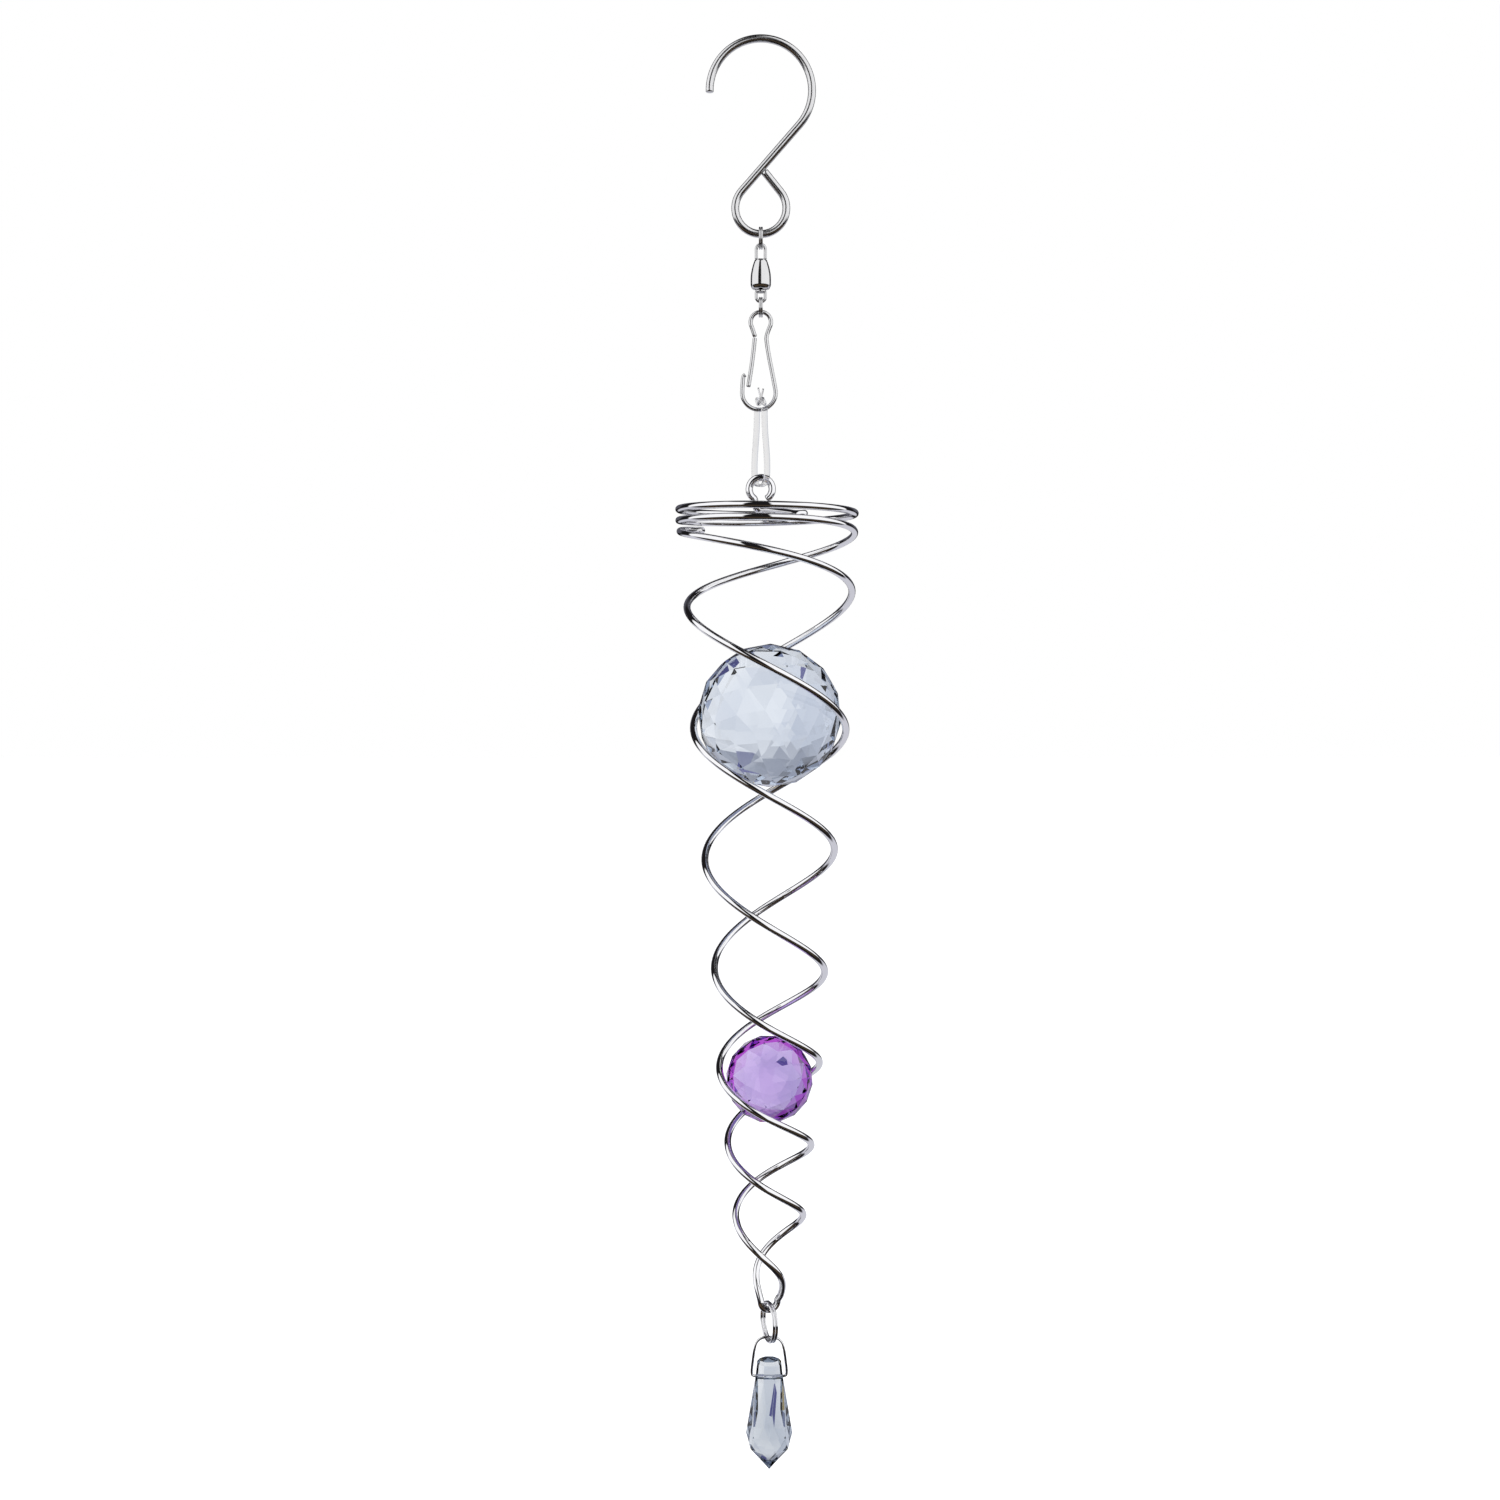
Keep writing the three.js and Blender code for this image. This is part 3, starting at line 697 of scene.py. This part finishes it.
def spiral_route():
    """The whole wire: eye, bar, tight bend, strand a down, fold at the tip, strand b up to its free end."""
    eye_x = -SPIRAL_ZERO.x
    ring = arc(eye_x, SPIRAL_EYE_Z, SPIRAL_EYE_R, -420, -125, 34)
    ring[:, 1] = np.linspace(-0.0005, 0.0005, len(ring))
    foot = np.array((eye_x - 0.0014, 0.0015, BAR_Z + 0.0003))
    out = np.array((math.cos(BAR_AZIMUTH), math.sin(BAR_AZIMUTH), 0))
    bar = out * 0.025 + (COIL_SHIFT - 0.0012, 0.001, BAR_Z + 0.0002)
    heel = out * 0.0283 + (COIL_SHIFT, 0, BAR_Z + 0.00045)
    middle_bar = np.linspace(foot, bar, 6)[1:-1]
    coil = strand("a", BAR_END, COIL_START, 60)
    top = smooth_through(np.vstack([ring, foot, middle_bar, bar, heel, coil]), 5)
    fold = arc(0, BIGHT_Z, BIGHT_R, 0, -180, 20)
    turn = np.array([
        (math.cos(BIGHT_TURN), math.sin(BIGHT_TURN), 0),
        (-math.sin(BIGHT_TURN), math.cos(BIGHT_TURN), 0),
        (0, 0, 1),
    ])
    tip_end = TIP_START + 1
    tip = np.vstack([strand("a", TIP_START, tip_end, 12), fold @ turn, strand("b", tip_end, TIP_START, 12)])
    down, up = strand("a", COIL_START, TIP_START), strand("b", TIP_START, FREE_END)
    return np.vstack([top[:-1], down[:-1], smooth_through(tip, 5)[:-1], up])


def add_spiral():
    nodes = [n for n in frame["nodes"] if n.startswith("spiral_")]
    bar = sweep(spiral_route(), circle(WIRE, 28), chamfer=0.0002)
    piece("spiral_wire", [bar], CHROME, "chrome_wire", "spiral", *nodes, at=SPIRAL_ZERO)


def add_bail():
    right = [(x, 0, -down) for x, down in BAIL_SIDE]
    left = [(-x, 0, -down) for x, down in BAIL_SIDE][::-1]
    bar = wire(right + [(0, 0, 0)] + left, BAIL_WIRE, 8, 20)
    piece("drop_bail_wire", [bar], FITTING, "chrome_fittings", "bail", "drop_bail", at=PIVOT["bail_swing"])


add_spiral()
add_bail()


# ---------------------------------------------------------------- CAD nodes that stay

GROUND_EDGE = 0.00003
WELD_WITHIN = 0.000002
FACET_ANGLE = math.radians(4)  # edges between faces that meet at more than this are ground


def refinish(node, material):
    mesh = frame["nodes"][node].data
    mesh.materials.clear()
    mesh.materials.append(material)


def soften_edges(node, width):
    """Narrow ground edges between the facets."""
    obj = frame["nodes"][node]
    weld = obj.modifiers.new("weld", "WELD")
    weld.merge_threshold = WELD_WITHIN
    edges = obj.modifiers.new("ground edges", "BEVEL")
    edges.width = width
    edges.segments = 1
    edges.limit_method = "ANGLE"
    edges.angle_limit = FACET_ANGLE


for name in frame["nodes"]:
    if name.startswith("bearing_ball_"):
        refinish(name, BEARING)
refinish("swivel_end_cap", TURNED)
for name, glass in (("large_crystal_ball", CLEAR), ("small_crystal_ball", VIOLET), ("crystal_drop", DROP)):
    refinish(name, glass)
    soften_edges(name, GROUND_EDGE)


# ---------------------------------------------------------------- floor, light and surroundings

FLOOR_REACH = 9.0
FLOOR_DROP = 0.25  # under the object's lowest point
LIGHT_AIM = Vector((0, 0, -0.24))  # about half way down the object
PLAIN_WHITE = (1.0, 1.0, 1.0)


def add_floor():
    """A pale floor with a little light of its own, so that it stays near the white behind it."""
    reach, z = FLOOR_REACH, cad_low.z - FLOOR_DROP
    corners = [(-reach, -reach, z), (reach, -reach, z), (reach, reach, z), (-reach, reach, z)]
    mesh = bpy.data.meshes.new("floor")
    mesh.from_pydata(corners, [], [(0, 1, 2, 3)])
    floor = bpy.data.objects.new("floor", mesh)
    bpy.context.scene.collection.objects.link(floor)
    material, tree, shader = new_material(
        "floor", Roughness=0.9, Emission_Color=(1, 1, 1, 1), Emission_Strength=0.3,
    )
    paper = mix_colours(tree, solid_noise(tree, 3), (0.93, 0.93, 0.93), (0.9, 0.9, 0.9))
    tree.links.new(paper, shader.inputs["Base Color"])
    mesh.materials.append(material)
    floor.visible_glossy = False
    floor.visible_transmission = False


def add_softbox(name, azimuth, elevation, distance, width, height, power):
    """A soft light that faces the object and is never seen itself. Azimuth 0 is the front, 90 the right."""
    light = bpy.data.lights.new(name, "AREA")
    light.shape = "RECTANGLE"
    light.size = width
    light.size_y = height
    light.energy = power
    obj = bpy.data.objects.new(name, light)
    bpy.context.scene.collection.objects.link(obj)
    a, e = math.radians(azimuth), math.radians(elevation)
    out = Vector((math.sin(a) * math.cos(e), -math.cos(a) * math.cos(e), math.sin(e)))
    obj.location = LIGHT_AIM + out * distance
    obj.rotation_euler = out.to_track_quat("Z", "Y").to_euler()
    obj.visible_camera = False
    obj.visible_glossy = False
    obj.visible_transmission = False


def maths(tree, operation, *values):
    node = tree.nodes.new("ShaderNodeMath")
    node.operation = operation
    for socket, value in zip(node.inputs, values):
        if isinstance(value, bpy.types.NodeSocket):
            tree.links.new(value, socket)
        else:
            socket.default_value = value
    return node.outputs[0]


def both(tree, first, second):
    return maths(tree, "MULTIPLY", first, second)


def window(tree, value, low, high, soft):
    """1 from low to high and 0 outside, with soft edges."""
    above = fade(tree, value, low - soft, low + soft)
    below = fade(tree, value, high + soft, high - soft)
    return both(tree, above, below)


def metal_surroundings(tree, x, y, z):
    """Tall white panels left and right of a dark gap in front, brown low there, grey low and high behind."""
    azimuth = maths(tree, "DEGREES", maths(tree, "ARCTAN2", x, maths(tree, "MULTIPLY", y, -1.0)))
    elevation = maths(tree, "DEGREES", maths(tree, "ARCSINE", z))
    tall = window(tree, elevation, -9, 66, 3)
    right = both(tree, window(tree, azimuth, 5, 116, 2.5), tall)
    left = both(tree, window(tree, azimuth, -116, -30, 2.5), tall)
    low_front = both(tree, window(tree, z, -0.7, -0.42, 0.06), fade(tree, y, 0.3, -0.1))
    low_behind = both(tree, fade(tree, z, -0.12, -0.22), fade(tree, y, 0.3, 0.45))
    colour = mix_colours(tree, low_front, (0.012, 0.011, 0.012), (0.075, 0.052, 0.032))
    colour = mix_colours(tree, low_behind, colour, (0.62, 0.62, 0.68))
    high_behind = both(tree, fade(tree, z, -0.02, 0.04), fade(tree, y, 0.7, 0.85))
    colour = mix_colours(tree, high_behind, colour, (0.10, 0.10, 0.12))
    return mix_colours(tree, maths(tree, "ADD", right, left), colour, (1.05, 1.05, 1.06))


def crystal_surroundings(tree, direction, x, y, z):
    """A pale room, brighter to the right, greyer above, patchy aside, with navy and yellow high and low."""
    slope = maths(tree, "ADD", maths(tree, "MULTIPLY", x, 0.6), maths(tree, "MULTIPLY", z, -0.5))
    cloud = add_node(tree, "ShaderNodeTexNoise", Vector=direction, Scale=1.7, Detail=0.0).outputs["Fac"]
    tone = maths(tree, "ADD", slope, maths(tree, "MULTIPLY", cloud, 1.6))
    pale = mix_colours(tree, fade(tree, tone, 0.25, 1.2), (0.70, 0.73, 0.80), PLAIN_WHITE)
    pale = mix_colours(tree, fade(tree, z, 0.22, 0.5), pale, (0.42, 0.44, 0.5))
    aside = mix_colours(tree, fade(tree, cloud, 0.45, 0.6), (0.30, 0.32, 0.46), (0.95, 0.97, 1.0))
    tilt = maths(tree, "ABSOLUTE", z)
    off_axis = both(tree, fade(tree, y, 0.45, 0.2), fade(tree, tilt, 0.2, 0.4))
    colour = mix_colours(tree, off_axis, pale, aside)
    cells = add_node(tree, "ShaderNodeTexVoronoi", Vector=direction, Scale=3.9)
    kind = add_node(tree, "ShaderNodeSeparateColor", Color=cells.outputs["Color"]).outputs[0]
    high_or_low = fade(tree, tilt, 0.4, 0.5)
    navy = both(tree, maths(tree, "LESS_THAN", kind, 0.1), high_or_low)
    yellow = both(tree, maths(tree, "GREATER_THAN", kind, 0.92), high_or_low)
    colour = mix_colours(tree, navy, colour, (0.13, 0.13, 0.32))
    return mix_colours(tree, yellow, colour, (0.62, 0.46, 0.18))


def add_world():
    """Plain white behind the object. Reflected and refracted rays each meet surroundings of their own."""
    world = bpy.data.worlds.new("studio")
    bpy.context.scene.world = world
    world.use_nodes = True
    tree = world.node_tree
    direction = add_node(tree, "ShaderNodeTexCoord").outputs["Generated"]
    x, y, z = add_node(tree, "ShaderNodeSeparateXYZ", Vector=direction).outputs
    path = add_node(tree, "ShaderNodeLightPath").outputs
    reflected = metal_surroundings(tree, x, y, z)
    refracted = crystal_surroundings(tree, direction, x, y, z)
    seen = mix_colours(tree, path["Is Glossy Ray"], (0.9, 0.91, 0.93), reflected)
    seen = mix_colours(tree, path["Is Transmission Ray"], seen, refracted)
    seen = mix_colours(tree, path["Is Camera Ray"], seen, PLAIN_WHITE)
    tree.links.new(seen, tree.nodes["Background"].inputs["Color"])


add_floor()
add_softbox("overhead", 0, 62, 1.1, 1.3, 0.7, 10)
add_softbox("left", -38, 12, 1.2, 0.42, 1.3, 6)
add_softbox("right", 34, 6, 1.2, 0.5, 1.4, 6)
add_world()
bpy.context.scene.view_settings.view_transform = "Standard"
